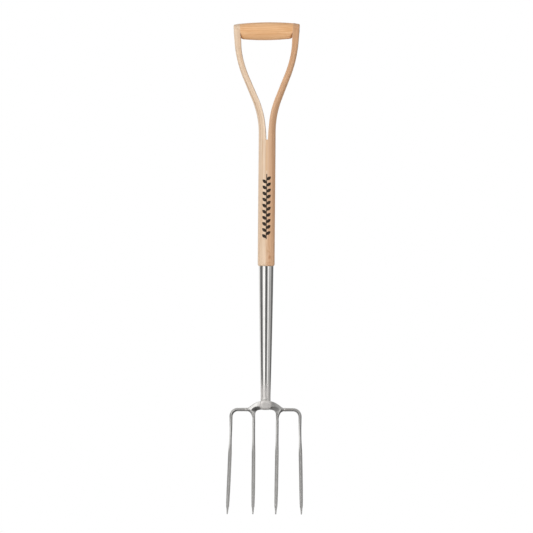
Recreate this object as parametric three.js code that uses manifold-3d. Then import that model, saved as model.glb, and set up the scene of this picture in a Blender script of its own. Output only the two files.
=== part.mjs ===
// Digging fork: a split ash handle with a barrel grip, a tapered stainless socket and a four-tine head.
//
// Millimetres, +Z up along the shaft, +X to the right of someone facing the front, -Y the front, which
// is the hollow side of the tines. Heights are measured up from the tine tips. The finished group is
// lowered so that its origin is the middle of the grip's underside, where the tool hangs from a hook.
// Touching pieces keep a small gap. The left-hand pieces mirror the right-hand ones.

import * as THREE from "three";
import { mergeVertices } from "three/addons/utils/BufferGeometryUtils.js";
import Module from "manifold-3d";

const wasm = await Module();
wasm.setup();

const degree = Math.PI / 180;
const gap = 0.3;

// Grip: a barrel with its axis along X.
const gripHeight = 1080;
const gripMiddleRadius = 20;
const gripEndRadius = 17.2;
const gripSeatHalf = 58; // from the middle to an arm's inner face, at the height of the grip's axis

// Pin that is riveted over a washer at each end of the grip.
const pinRadius = 4;
const pinEnd = 74.5;
const pinHeadRadius = 5.4;
const pinHeadHeight = 2;
const washerRadius = 6;
const washerThickness = 1;

// Shaft, split into two arms above the crotch.
const shaftRadius = 19;
const shaftFootHeight = 554;
const shaftFootRound = 5.5;
const crotchHeight = 837;
const slotHalf = 2.5;
const splineDepth = 70;

// Arm, bent outwards and then back towards upright.
const armThickness = 14.4;
const armHalfDepth = 16.5;
const bendHeight = 853;
const lowerBend = 200;
const splay = 22.3 * degree;
const straightRun = 54;
const upperBend = 252;
const armLean = 4 * degree;
const eyeOuterRadius = 15.6;

// Socket: a tapered tube with a slight swell.
const socketFootHeight = 257;
const socketMouthRadius = 16.4;
const socketFootRadius = 11;
const socketSwell = 0.45;
const socketWall = 1.8;
const rivetRadius = 2.6;
const rivetHeights = { upper: 528, lower: 440 };

// Tenon at the shaft's foot, and the spigot that comes up to meet it.
const tenonFootHeight = 305;
const spigotTopHeight = 296;

// Boss and yoke.
const bossHeight = 242.5;
const bossHalfWidth = 13;
const bossHalfTall = 10.4;
const bossFront = 13.5;
const bossBack = 9;
const collarHeight = 253;
const collarRadius = 10.9;
const shoulderBarEnd = 42.2;

// Sections of the yoke's right-hand half, from the neck of the inner tine up to the middle. Each has
// three [x, height] places: on the upper outline, on the ridge, and on the outline between the tines.
const yokeSections = [
  { outer: [29.7, 213], ridge: [26.6, 213], inner: [23.1, 213], depth: 5.2 },
  { outer: [30.8, 218], ridge: [27.6, 217.5], inner: [23.1, 217], depth: 5.4 },
  { outer: [32.6, 222.3], ridge: [29.4, 221.5], inner: [23, 220.5], depth: 5.7 },
  { outer: [35.2, 226], ridge: [31.2, 225.5], inner: [22.7, 223.5], depth: 6 },
  { outer: [39.5, 228.7], ridge: [32.4, 229], inner: [21.9, 226.3], depth: 6.3 },
  { outer: [39.5, 235.3], ridge: [31.8, 232], inner: [20.6, 228.2], depth: 6.5 },
  { outer: [35.8, 238.2], ridge: [29.6, 234.8], inner: [19, 229.6], depth: 6.7 },
  { outer: [31.5, 241.6], ridge: [26.6, 236.8], inner: [16.8, 230.6], depth: 6.9 },
  { outer: [26, 245.3], ridge: [22.6, 238.3], inner: [14, 231.3], depth: 7.1 },
  { outer: [18.5, 249.2], ridge: [16.6, 239], inner: [10.8, 231.7], depth: 7.2 },
  { outer: [9, 251.5], ridge: [8.5, 239.2], inner: [6, 231.8], depth: 7.2 },
  { outer: [0, 252], ridge: [0, 239.2], inner: [0, 231.8], depth: 7.2 },
];

// Tines.
const shoulderHeight = 232;
const innerTineX = 26.4;
const innerTipX = 25.5;
const outerTineX = 77.4;
const outerTipX = 82.8;
const outerBend = 17;
const straightNeckHeight = 190;
const weldX = 43.5;
const weldHalf = 1;
const tipReach = 56; // how far the tips stand in front of the shaft's axis

const ash = { color: 0xddb487, roughness: 0.55, metalness: 0 };
const gripAsh = { color: 0xdcab79, roughness: 0.5, metalness: 0 };
const splineAsh = { color: 0xc99c6c, roughness: 0.6, metalness: 0 };
const polishedSteel = { color: 0xb9b7b3, roughness: 0.16, metalness: 1 };
const forgedSteel = { color: 0xa9a7a3, roughness: 0.3, metalness: 1 };
const satinSteel = { color: 0xb4aea6, roughness: 0.45, metalness: 1 };
const rivetSteel = { color: 0x9c9a96, roughness: 0.35, metalness: 1 };

const mix = THREE.MathUtils.lerp;
const clamp = THREE.MathUtils.clamp;
const smoothstep = THREE.MathUtils.smoothstep;

// ---- solids ----

// A geometry as a solid that can be joined and cut.
function solid(geometry) {
  const bare = geometry.clone();
  bare.deleteAttribute("normal");
  bare.deleteAttribute("uv");
  const merged = mergeVertices(bare, 1e-4);
  return new wasm.Manifold(
    new wasm.Mesh({
      numProp: 3,
      vertProperties: new Float32Array(merged.attributes.position.array),
      triVerts: new Uint32Array(merged.index.array),
    }),
  );
}

function join(...geometries) {
  return geometries.map(solid).reduce((whole, piece) => whole.add(piece));
}

function cut(body, ...geometries) {
  return geometries.map(solid).reduce((rest, tool) => rest.subtract(tool), body);
}

function geometryOf(body) {
  const { vertProperties, triVerts } = body.getMesh();
  const geometry = new THREE.BufferGeometry();
  geometry.setAttribute("position", new THREE.BufferAttribute(vertProperties, 3));
  geometry.setIndex(new THREE.BufferAttribute(triVerts, 1));
  geometry.computeVertexNormals();
  return geometry;
}

// The same geometry on the other side of the plane x = 0, its faces still pointing out.
function mirrored(geometry) {
  const copy = geometry.clone().scale(-1, 1, 1);
  const corners = copy.index.array;
  for (let i = 0; i < corners.length; i += 3) {
    [corners[i + 1], corners[i + 2]] = [corners[i + 2], corners[i + 1]];
  }
  return copy;
}

function mesh(name, geometry, look) {
  const piece = new THREE.Mesh(geometry, new THREE.MeshStandardMaterial(look));
  piece.name = name;
  return piece;
}

// A body turned about the shaft's axis, from [radius, height] points that start and end on the axis.
function turned(points, sides) {
  const profile = points.map(([radius, height]) => new THREE.Vector2(radius, height));
  return new THREE.LatheGeometry(profile, sides).rotateX(Math.PI / 2);
}

// A cylinder along X through both sides at a height.
function crossRod(radius, halfLength, height, sides) {
  const rod = new THREE.CylinderGeometry(radius, radius, 2 * halfLength, sides);
  return rod.rotateZ(Math.PI / 2).translate(0, 0, height);
}

// A path drawn in the front view, carried forward or back by a depth that depends on the height.
class FrontCurve extends THREE.Curve {
  constructor(outline, depthAt = () => 0) {
    super();
    this.outline = outline;
    this.depthAt = depthAt;
  }

  getPoint(t) {
    const { x, y: height } = this.outline.getPointAt(t);
    return new THREE.Vector3(x, this.depthAt(height), height);
  }
}

// Rings of points along a curve. section(along) lists a ring's corners as [sideways, back] offsets, and
// the offsets turn with the curve: back stays near +Y, and sideways lies in the front view.
function ringsAlong(curve, steps, section) {
  const rings = [];
  for (let step = 0; step <= steps; step++) {
    const along = step / steps;
    const point = curve.getPointAt(along);
    const tangent = curve.getTangentAt(along);
    const side = new THREE.Vector3(0, 1, 0).cross(tangent).normalize();
    const rear = tangent.clone().cross(side);
    const ring = section(along).map(([sideways, back]) =>
      point.clone().addScaledVector(side, sideways).addScaledVector(rear, back),
    );
    rings.push(ring);
  }
  return rings;
}

// A closed body over rings that all have the same number of points.
function skin(rings) {
  const sides = rings[0].length;
  const points = rings.flat();
  const corners = [];
  for (let ring = 0; ring + 1 < rings.length; ring++) {
    for (let side = 0; side < sides; side++) {
      const a = ring * sides + side;
      const b = ring * sides + ((side + 1) % sides);
      corners.push(a, b, b + sides, a, b + sides, a + sides);
    }
  }
  const last = (rings.length - 1) * sides;
  const foot = points.push(middleOf(rings[0])) - 1;
  const head = points.push(middleOf(rings.at(-1))) - 1;
  for (let side = 0; side < sides; side++) {
    const next = (side + 1) % sides;
    corners.push(foot, next, side, head, last + side, last + next);
  }
  return new THREE.BufferGeometry().setFromPoints(points).setIndex(corners);
}

function middleOf(ring) {
  const sum = ring.reduce((total, point) => total.add(point), new THREE.Vector3());
  return sum.divideScalar(ring.length);
}

function loft(curve, steps, section) {
  return skin(ringsAlong(curve, steps, section));
}

// Eight corners of a bar: half width and half depth, with half the flat left at its sides and its front.
// Narrow flats make a diamond, and wide ones a rectangle with bevelled edges.
function barSection({ width, depth, sideFlat, frontFlat }) {
  return [
    [width, sideFlat],
    [frontFlat, depth],
    [-frontFlat, depth],
    [-width, sideFlat],
    [-width, -sideFlat],
    [-frontFlat, -depth],
    [frontFlat, -depth],
    [width, -sideFlat],
  ];
}

// The bar at a place between stations, each { at, width, depth, sideFlat, frontFlat }.
function barBetween(stations, at) {
  const next = stations.findIndex((station) => station.at >= at);
  if (next <= 0) return barSection(stations[next === 0 ? 0 : stations.length - 1]);
  const from = stations[next - 1];
  const to = stations[next];
  const share = smoothstep(at, from.at, to.at);
  return barSection({
    width: mix(from.width, to.width, share),
    depth: mix(from.depth, to.depth, share),
    sideFlat: mix(from.sideFlat, to.sideFlat, share),
    frontFlat: mix(from.frontFlat, to.frontFlat, share),
  });
}

// ---- handle ----

// An arm's middle line in the front view: upright, bent out, straight, bent back, straight to its end.
function armOutline() {
  const start = (shaftRadius + slotHalf) / 2;
  const lower = { x: start + lowerBend, height: bendHeight };
  const bent = {
    x: lower.x - lowerBend * Math.cos(splay) + straightRun * Math.sin(splay),
    height: lower.height + lowerBend * Math.sin(splay) + straightRun * Math.cos(splay),
  };
  const upper = {
    x: bent.x - upperBend * Math.cos(splay),
    height: bent.height + upperBend * Math.sin(splay),
  };
  const outline = new THREE.Path();
  outline.moveTo(start, crotchHeight - 8);
  outline.lineTo(start, bendHeight);
  outline.absarc(lower.x, lower.height, lowerBend, Math.PI, Math.PI - splay, true);
  outline.absarc(upper.x, upper.height, upperBend, -splay, -armLean, false);
  const end = outline.currentPoint;
  const rise = gripHeight - end.y;
  outline.lineTo(end.x + rise * Math.tan(armLean), gripHeight);
  return outline;
}

// An arm's section: half of the shaft at the crotch, a bar with rounded outer edges at the grip.
function armSection(along) {
  const points = 10;
  const start = (shaftRadius + slotHalf) / 2;
  const reach = Math.acos(slotHalf / shaftRadius);
  const shaped = smoothstep(along, 0.1, 0.75);
  const nearEye = smoothstep(along, 0.8, 1);
  const depth = mix(armHalfDepth, gripEndRadius, nearEye);
  const square = mix(0.42, 0.25, nearEye);
  const corners = [];
  for (let i = 0; i <= points; i++) {
    const round = (2 * i) / points - 1;
    const split = [shaftRadius * Math.cos(round * reach) - start, shaftRadius * Math.sin(round * reach)];
    const turn = (round * Math.PI) / 2;
    const crown = Math.cos(turn) ** square;
    const taper = mix(1, eyeOuterRadius / gripEndRadius, crown * nearEye);
    const across = Math.sign(turn) * Math.abs(Math.sin(turn)) ** square * depth * taper;
    const bar = [(crown - 0.5) * armThickness, across];
    corners.push([mix(split[0], bar[0], shaped), mix(split[1], bar[1], shaped)]);
  }
  return corners;
}

// Where the arm's middle line crosses the grip's axis.
function armEyeX() {
  return armOutline().getPointAt(1).x;
}

// The rounded end of an arm, about the grip's axis.
function armEye() {
  const eye = new THREE.CylinderGeometry(eyeOuterRadius, gripEndRadius, armThickness, 32);
  eye.rotateZ(-Math.PI / 2).rotateY(armLean);
  return eye.translate(armEyeX(), 0, gripHeight);
}

function rightArm() {
  const sweep = loft(new FrontCurve(armOutline()), 32, armSection);
  return geometryOf(join(sweep, armEye()));
}

// The round part of the shaft with its rounded foot and the tenon below it.
function shaftAndTenon() {
  const tenonGap = socketWall + gap;
  return turned(
    [
      [0, tenonFootHeight],
      [socketRadius(tenonFootHeight) - tenonGap - 1.5, tenonFootHeight],
      [socketRadius(tenonFootHeight + 3) - tenonGap, tenonFootHeight + 3],
      [socketRadius(440) - tenonGap, 440],
      [socketMouthRadius - tenonGap, shaftFootHeight],
      [shaftRadius - 2.2, shaftFootHeight + gap],
      [shaftRadius - 0.8, shaftFootHeight + 0.4 * shaftFootRound],
      [shaftRadius, shaftFootHeight + shaftFootRound],
      [shaftRadius, crotchHeight],
      [0, crotchHeight],
    ],
    48,
  );
}

function slot(halfWidth, foot, top) {
  const tall = top - foot;
  const box = new THREE.BoxGeometry(2 * halfWidth, 3 * shaftRadius, tall);
  return box.translate(0, 0, foot + tall / 2);
}

// Where a washer rests, below the arm's outer face.
function washerSeatX() {
  return pinEnd - pinHeadHeight - washerThickness - 2 * gap;
}

// The flat-bottomed pocket for a washer in the right-hand arm.
function washerPocket() {
  const pocket = crossRod(washerRadius + gap, 10, gripHeight, 28);
  return pocket.translate(washerSeatX() + 10, 0, 0);
}

function ashShaft() {
  const arm = rightArm();
  const whole = join(shaftAndTenon(), arm, mirrored(arm));
  const pocket = washerPocket();
  const shaft = cut(
    whole,
    slot(slotHalf, crotchHeight - splineDepth, crotchHeight + 1),
    crossRod(pinRadius + gap, 100, gripHeight, 24),
    crossRod(rivetRadius + gap, 30, rivetHeights.upper, 20),
    crossRod(rivetRadius + gap, 30, rivetHeights.lower, 20),
    pocket,
    mirrored(pocket),
  );
  return mesh("ash_shaft", geometryOf(shaft), ash);
}

function crotchSpline() {
  const foot = crotchHeight - splineDepth + gap;
  const round = turned(
    [
      [0, foot],
      [shaftRadius, foot],
      [shaftRadius, crotchHeight],
      [0, crotchHeight],
    ],
    96,
  );
  const strip = solid(round).intersect(solid(slot(slotHalf - gap, foot, crotchHeight)));
  return mesh("crotch_spline", geometryOf(strip), splineAsh);
}

// ---- grip ----

// A block that fills one side of an arm's inner face, leaning with the arm.
function beyondSeat() {
  const seat = gripSeatHalf - gap;
  const block = new THREE.BoxGeometry(60, 120, 120).translate(30, 0, 0);
  return block.rotateY(armLean).translate(seat, 0, gripHeight);
}

function grip() {
  const points = [[0, -gripSeatHalf - 3]];
  for (let i = 0; i <= 12; i++) {
    const place = i / 6 - 1;
    const radius = gripMiddleRadius - (gripMiddleRadius - gripEndRadius) * place ** 2;
    points.push([radius, place * (gripSeatHalf + 3)]);
  }
  points.push([0, gripSeatHalf + 3]);
  const barrel = turned(points, 32).rotateY(Math.PI / 2).translate(0, 0, gripHeight);
  const end = beyondSeat();
  const bore = crossRod(pinRadius + gap, 100, gripHeight, 24);
  return mesh("grip", geometryOf(cut(solid(barrel), end, mirrored(end), bore)), gripAsh);
}

// The pin with the domed heads that riveting leaves on it.
function gripPin() {
  const underHead = pinEnd - pinHeadHeight;
  const points = [
    [0, -pinEnd],
    [0.5 * pinHeadRadius, -pinEnd + 0.3 * pinHeadHeight],
    [pinHeadRadius, -underHead],
    [pinRadius, -underHead],
    [pinRadius, underHead],
    [pinHeadRadius, underHead],
    [0.5 * pinHeadRadius, pinEnd - 0.3 * pinHeadHeight],
    [0, pinEnd],
  ];
  const pin = turned(points, 24).rotateY(Math.PI / 2).translate(0, 0, gripHeight);
  return mesh("grip_pin", pin, rivetSteel);
}

function pinWasher(name, side) {
  const inner = pinRadius + gap;
  const ring = turned(
    [
      [inner, 0],
      [washerRadius, 0],
      [washerRadius, washerThickness],
      [inner, washerThickness],
      [inner, 0],
    ],
    28,
  );
  const washer = mesh(name, ring.rotateY(Math.PI / 2), rivetSteel);
  washer.position.set(side * (washerSeatX() + gap), 0, gripHeight);
  washer.scale.x = side;
  return washer;
}

// ---- socket ----

// The socket's outer radius, carried on above the mouth and below the foot.
function socketRadius(height) {
  const up = (height - socketFootHeight) / (shaftFootHeight - socketFootHeight);
  return mix(socketFootRadius, socketMouthRadius, up) + 4 * socketSwell * up * (1 - up);
}

function socket() {
  const steps = 6;
  const outside = [];
  for (let i = 0; i <= steps; i++) {
    const height = mix(socketFootHeight, shaftFootHeight, i / steps);
    outside.push([socketRadius(height), height]);
  }
  const inside = outside.map(([radius, height]) => [radius - socketWall, height]).reverse();
  const tube = turned([...outside, ...inside, outside[0]], 40);
  const body = cut(
    solid(tube),
    crossRod(rivetRadius + gap, 30, rivetHeights.upper, 20),
    crossRod(rivetRadius + gap, 30, rivetHeights.lower, 20),
  );
  return mesh("socket", geometryOf(body), polishedSteel);
}

function socketRivet(name, height) {
  return mesh(name, crossRod(rivetRadius, socketRadius(height) - 0.1, height, 20), rivetSteel);
}

function neckWeld() {
  const inner = spigotRadius(socketFootHeight) + gap;
  const foot = collarHeight + gap;
  const top = socketFootHeight - gap;
  const ring = turned(
    [
      [inner, foot],
      [collarRadius + 0.4, foot],
      [collarRadius + 0.8, (foot + top) / 2],
      [socketFootRadius + 0.1, top],
      [inner, top],
      [inner, foot],
    ],
    40,
  );
  return mesh("neck_weld", ring, satinSteel);
}

// ---- head ----

// How far forward a tine has curved at a height: an arc that leaves the shoulder straight down.
function tineDepth(height) {
  const drop = clamp(shoulderHeight - height, 0, shoulderHeight);
  const bend = (shoulderHeight ** 2 + tipReach ** 2) / (2 * tipReach);
  return Math.sqrt(bend ** 2 - drop ** 2) - bend;
}

// A tine's sections from its tip to its neck, by height: a blunt nib, a diamond blade with a ridge in
// front, and a narrower, deeper neck.
function tineStations(neckHalf) {
  return [
    { at: 0, width: 1.4, depth: 1.4, sideFlat: 0.3, frontFlat: 0.3 },
    { at: 5, width: 1.7, depth: 1.8, sideFlat: 0.3, frontFlat: 0.3 },
    { at: 11.5, width: 2.3, depth: 2.5, sideFlat: 0.3, frontFlat: 0.3 },
    { at: 18.5, width: 3.4, depth: 3.6, sideFlat: 0.4, frontFlat: 0.4 },
    { at: 32, width: 3.8, depth: 4.1, sideFlat: 0.4, frontFlat: 0.4 },
    { at: 60, width: 4.1, depth: 4.4, sideFlat: 0.4, frontFlat: 0.4 },
    { at: 128, width: 4.1, depth: 4.6, sideFlat: 0.4, frontFlat: 0.4 },
    { at: 168, width: neckHalf, depth: 5.2, sideFlat: 1.2, frontFlat: 0.6 },
  ];
}

function spigotRadius(height) {
  return socketRadius(height) - socketWall - gap;
}

// The spigot inside the socket, and the collar that the weld stands on.
function spigotAndCollar() {
  return turned(
    [
      [0, bossHeight - 6],
      [collarRadius - 1, bossHeight - 6],
      [collarRadius, collarHeight],
      [spigotRadius(socketFootHeight), collarHeight],
      [spigotRadius(socketFootHeight), socketFootHeight],
      [spigotRadius(spigotTopHeight) - 0.5, spigotTopHeight - 3],
      [spigotRadius(spigotTopHeight) - 2.5, spigotTopHeight],
      [0, spigotTopHeight],
    ],
    40,
  );
}

// The pad in front of the yoke: a disc facing the front, with a rounded rim and a slight crown.
function boss() {
  const pad = turned(
    [
      [0, -bossBack],
      [0.8 * bossHalfWidth, -bossBack],
      [bossHalfWidth, -0.6 * bossBack],
      [bossHalfWidth, 0.6 * bossFront],
      [0.93 * bossHalfWidth, 0.82 * bossFront],
      [0.7 * bossHalfWidth, 0.96 * bossFront],
      [0, bossFront],
    ],
    40,
  );
  pad.rotateX(Math.PI / 2).scale(1, 1, bossHalfTall / bossHalfWidth);
  return pad.translate(0, 0, bossHeight);
}

// The corners of one section of the yoke, in the same order as those of a bar.
function yokeRing({ outer, ridge, inner, depth }) {
  const sideFlat = 1;
  const share = 0.08;
  const nearOuter = [mix(ridge[0], outer[0], share), mix(ridge[1], outer[1], share)];
  const nearInner = [mix(ridge[0], inner[0], share), mix(ridge[1], inner[1], share)];
  const corners = [
    [outer, sideFlat],
    [nearOuter, depth],
    [nearInner, depth],
    [inner, sideFlat],
    [inner, -sideFlat],
    [nearInner, -depth],
    [nearOuter, -depth],
    [outer, -sideFlat],
  ];
  return corners.map(([[x, height], back]) => new THREE.Vector3(x, back + tineDepth(height), height));
}

// The arch over the inner tines and the tines themselves, from one tip over the middle to the other.
function archAndInnerTines() {
  const outline = new THREE.Path();
  outline.moveTo(innerTipX, 0);
  outline.lineTo(innerTineX, straightNeckHeight);
  outline.lineTo(innerTineX, yokeSections[0].ridge[1] - 4);
  const curve = new FrontCurve(outline, tineDepth);
  const stations = tineStations(3.3);
  const tine = ringsAlong(curve, 40, (along) => barBetween(stations, curve.getPointAt(along).z));
  const right = [...tine, ...yokeSections.map(yokeRing)];
  const left = right.slice(0, -1).reverse();
  const across = left.map((ring) => ring.map(({ x, y, z }) => new THREE.Vector3(-x, y, z)));
  return skin([...right, ...across]);
}

// The stub of the yoke that reaches out to the place where an outer tine is welded on.
function shoulderBar() {
  const outline = new THREE.Path();
  outline.moveTo(29, shoulderHeight + 2);
  outline.quadraticCurveTo(36, shoulderHeight, shoulderBarEnd - 2, shoulderHeight);
  outline.lineTo(shoulderBarEnd, shoulderHeight);
  const stations = [
    { at: 0, width: 4.6, depth: 6, sideFlat: 1.5, frontFlat: 0.4 },
    { at: 1, width: 3.7, depth: 5.2, sideFlat: 1.5, frontFlat: 0.4 },
  ];
  return loft(new FrontCurve(outline), 8, (along) => barBetween(stations, along));
}

function headYoke() {
  const bar = shoulderBar();
  const body = join(spigotAndCollar(), boss(), archAndInnerTines(), bar, mirrored(bar));
  return mesh("head_yoke", geometryOf(body), forgedSteel);
}

function shoulderWeld(name, side) {
  const outline = new THREE.LineCurve(
    new THREE.Vector2(weldX - weldHalf, shoulderHeight),
    new THREE.Vector2(weldX + weldHalf, shoulderHeight),
  );
  const bead = barSection({ width: 4.2, depth: 5.7, sideFlat: 2, frontFlat: 0.8 });
  const weld = mesh(name, loft(new FrontCurve(outline), 2, () => bead), satinSteel);
  weld.scale.x = side;
  return weld;
}

// A bar that runs level from the weld, turns the corner and goes down as a tine.
function outerTine(name, side) {
  const outline = new THREE.Path();
  outline.moveTo(weldX + weldHalf + gap, shoulderHeight);
  outline.lineTo(outerTineX - outerBend, shoulderHeight);
  outline.absarc(outerTineX - outerBend, shoulderHeight - outerBend, outerBend, Math.PI / 2, 0, true);
  outline.lineTo(outerTineX, straightNeckHeight);
  outline.lineTo(outerTipX, 0);
  const curve = new FrontCurve(outline, tineDepth);
  const stations = [
    ...tineStations(2.9),
    { at: shoulderHeight - 0.2, width: 3.7, depth: 5.2, sideFlat: 1.5, frontFlat: 0.4 },
  ];
  const bar = loft(curve, 44, (along) => barBetween(stations, curve.getPointAt(along).z));
  const tine = mesh(name, bar, forgedSteel);
  tine.scale.x = side;
  return tine;
}

// ---- assembly ----

const handle = new THREE.Group();
handle.add(ashShaft(), crotchSpline(), grip(), gripPin());
handle.add(pinWasher("pin_washer_left", -1), pinWasher("pin_washer_right", 1));

const head = new THREE.Group();
head.add(socket(), neckWeld(), headYoke());
for (const [place, height] of Object.entries(rivetHeights)) {
  head.add(socketRivet("socket_rivet_" + place, height));
}
for (const [hand, side] of Object.entries({ left: -1, right: 1 })) {
  head.add(outerTine("outer_tine_" + hand, side));
  head.add(shoulderWeld("shoulder_weld_" + hand, side));
}

const fork = new THREE.Group();
fork.add(handle, head);
fork.position.z = gripMiddleRadius - gripHeight;

export default fork;
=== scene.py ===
"""Looks for the digging fork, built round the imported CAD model.

Metres, in the row frame: +Z up along the shaft, +X to the right of someone facing the front, -Y the
front. Shapes are lofts along the same lines as the CAD pieces, with rounded edges, and their places
come from the CAD pieces' boxes. Heights called "up" are millimetres above the tips of the tines.
"""

import math

import bmesh
import bpy
from mathutils import Matrix, Vector


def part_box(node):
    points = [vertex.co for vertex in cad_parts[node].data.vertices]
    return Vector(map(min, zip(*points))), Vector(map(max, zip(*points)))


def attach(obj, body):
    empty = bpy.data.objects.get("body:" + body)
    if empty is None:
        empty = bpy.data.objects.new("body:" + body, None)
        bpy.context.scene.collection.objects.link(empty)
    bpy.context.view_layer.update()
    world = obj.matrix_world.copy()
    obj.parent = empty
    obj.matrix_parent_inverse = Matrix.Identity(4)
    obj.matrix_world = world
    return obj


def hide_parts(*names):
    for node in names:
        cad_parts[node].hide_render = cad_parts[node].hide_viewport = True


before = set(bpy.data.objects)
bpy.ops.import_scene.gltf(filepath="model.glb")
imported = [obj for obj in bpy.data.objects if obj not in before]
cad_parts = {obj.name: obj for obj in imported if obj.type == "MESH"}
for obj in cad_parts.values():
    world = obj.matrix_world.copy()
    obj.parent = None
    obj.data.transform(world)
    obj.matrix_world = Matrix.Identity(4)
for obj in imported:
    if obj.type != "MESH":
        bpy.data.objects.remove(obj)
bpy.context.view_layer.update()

MM = 0.001


def centre(node):
    low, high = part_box(node)
    return (Vector(low) + Vector(high)) / 2


def size(node):
    low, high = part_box(node)
    return Vector(high) - Vector(low)


# ---- driving places, from the CAD pieces ----

GRIP_AXIS = centre("grip").z
GRIP_UP = 1080
GRIP_MIDDLE_R = size("grip").z / 2
GRIP_END_R = 17.2 * MM
EYE_OUTER_R = 15.7 * MM
SPLINE_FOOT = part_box("crotch_spline")[0][2]
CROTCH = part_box("crotch_spline")[1][2]
SHAFT_R = size("crotch_spline").y / 2
SLOT_HALF = size("crotch_spline").x / 2 + 0.3 * MM
SHAFT_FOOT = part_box("socket")[1][2]
SHAFT_TENON_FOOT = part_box("ash_shaft")[0][2]
SOCKET_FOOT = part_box("socket")[0][2]
MOUTH_R = size("socket").x / 2
FOOT_R = 11 * MM
SOCKET_SWELL = 0.45 * MM
SOCKET_WALL = 1.8 * MM
SOCKET_LINING = SOCKET_WALL + 0.15 * MM
PIN_END = size("grip_pin").x / 2
WASHER_R = size("pin_washer_right").z / 2
WASHER_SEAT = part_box("pin_washer_right")[0][0]
PIN_BORE = 4.15 * MM
WELD_X = centre("shoulder_weld_right").x
SHOULDER = centre("shoulder_weld_right").z
SPIGOT_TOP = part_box("head_yoke")[1][2]

ARM_THICKNESS = 14.4 * MM
ARM_HALF_DEPTH = 16.5 * MM
SPLAY = math.radians(22.3)
ARM_LEAN = math.radians(4)
LOWER_BEND = 200 * MM
UPPER_BEND = 252 * MM
STRAIGHT_RUN = 54 * MM
INNER_TINE_X = 26.4 * MM
INNER_TIP_X = 25.5 * MM
OUTER_TINE_X = 77.4 * MM
OUTER_TIP_X = 82.8 * MM
OUTER_BEND = 15.5 * MM
SHOULDER_BAR_END = 42.2 * MM
TIP_REACH = 56 * MM


def up(height_mm):
    """The place on Z of a height above the tips, given in millimetres."""
    return GRIP_AXIS + (height_mm - GRIP_UP) * MM


def mix(a, b, share):
    return a + (b - a) * share


def smooth(value, low, high):
    share = min(1, max(0, (value - low) / (high - low)))
    return share * share * (3 - 2 * share)


# ---- routes in the front view ----


class Route:
    """Straight stretches and arcs in the front view, followed by the distance along them."""

    def __init__(self, x, z):
        self.here = Vector((x, z))
        self.parts = []
        self.length = 0

    def line_to(self, x, z):
        end = Vector((x, z))
        run = (end - self.here).length
        if run > 1e-9:
            self.parts.append(("line", self.length, run, self.here.copy(), end))
            self.length += run
        self.here = end
        return self

    def arc(self, x, z, radius, start, end):
        middle = Vector((x, z))
        run = abs(end - start) * radius
        self.line_to(x + radius * math.cos(start), z + radius * math.sin(start))
        self.parts.append(("arc", self.length, run, middle, (radius, start, end)))
        self.length += run
        self.here = middle + radius * Vector((math.cos(end), math.sin(end)))
        return self

    def at(self, distance):
        """The point and the direction at a distance along the route."""
        distance = min(max(distance, 0), self.length)
        for kind, begun, run, first, second in self.parts:
            if distance <= begun + run + 1e-9:
                break
        share = (distance - begun) / run
        if kind == "line":
            return first.lerp(second, share), (second - first).normalized()
        radius, start, end = second
        angle = mix(start, end, share)
        turn = 1 if end > start else -1
        spot = Vector((math.cos(angle), math.sin(angle)))
        return first + radius * spot, Vector((-spot.y, spot.x)) * turn


def tine_depth(z):
    """How far back a tine lies at a height: it leaves the shoulder straight down and curves forward."""
    tall = SHOULDER - up(0)
    drop = min(max(SHOULDER - z, 0), tall)
    bend = (tall**2 + TIP_REACH**2) / (2 * TIP_REACH)
    return math.sqrt(bend**2 - drop**2) - bend


def no_depth(_):
    return 0


def frame_at(route, distance, depth):
    """The point in space, and the sideways and backward directions across the route there."""
    spot, way = route.at(distance)
    step = 0.5 * MM
    slope = (depth(spot.y + step) - depth(spot.y - step)) / (2 * step)
    tangent = Vector((way.x, slope * way.y, way.y)).normalized()
    side = Vector((0, 1, 0)).cross(tangent).normalized()
    back = tangent.cross(side)
    return Vector((spot.x, depth(spot.y), spot.y)), side, back


def section_ring(route, distance, depth, offsets):
    """A section of (sideways, back) offsets, set across the route."""
    spot, side, back = frame_at(route, distance, depth)
    return [spot + side * a + back * b for a, b in offsets]


# ---- meshes ----


def add_ring(bm, points):
    return [bm.verts.new(point) for point in points]


def join_rings(bm, a, b):
    count = len(a)
    for i in range(count):
        j = (i + 1) % count
        bm.faces.new((a[i], a[j], b[j], b[i]))


def cap(bm, ring, flip=False):
    """A fan over a ring, about its middle."""
    middle = bm.verts.new(sum((v.co for v in ring), Vector()) / len(ring))
    for i, vert in enumerate(ring):
        after = ring[(i + 1) % len(ring)]
        bm.faces.new((after, vert, middle) if flip else (vert, after, middle))


def loft_into(bm, rings):
    made = [add_ring(bm, points) for points in rings]
    for a, b in zip(made, made[1:]):
        join_rings(bm, a, b)
    return made


def object_from(bm, name):
    bmesh.ops.recalc_face_normals(bm, faces=bm.faces)
    mesh = bpy.data.meshes.new(name)
    bm.to_mesh(mesh)
    bm.free()
    piece = bpy.data.objects.new(name, mesh)
    bpy.context.scene.collection.objects.link(piece)
    return piece


def lofted(name, rings):
    bm = bmesh.new()
    made = loft_into(bm, rings)
    cap(bm, made[0], flip=True)
    cap(bm, made[-1])
    return object_from(bm, name)


def turned_rings(profile, segments, turn=None):
    """Rings of [radius, height] points about Z, moved by a matrix if one is given."""
    rings = []
    for radius, height in profile:
        ring = []
        for i in range(segments):
            angle = 2 * math.pi * i / segments
            point = Vector((radius * math.cos(angle), radius * math.sin(angle), height))
            ring.append(turn @ point if turn else point)
        rings.append(ring)
    return rings


def ring_body(name, profile, segments, turn=None):
    """A body turned from a closed profile that stays off the axis."""
    bm = bmesh.new()
    made = loft_into(bm, turned_rings(profile, segments, turn))
    join_rings(bm, made[-1], made[0])
    return object_from(bm, name)


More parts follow.
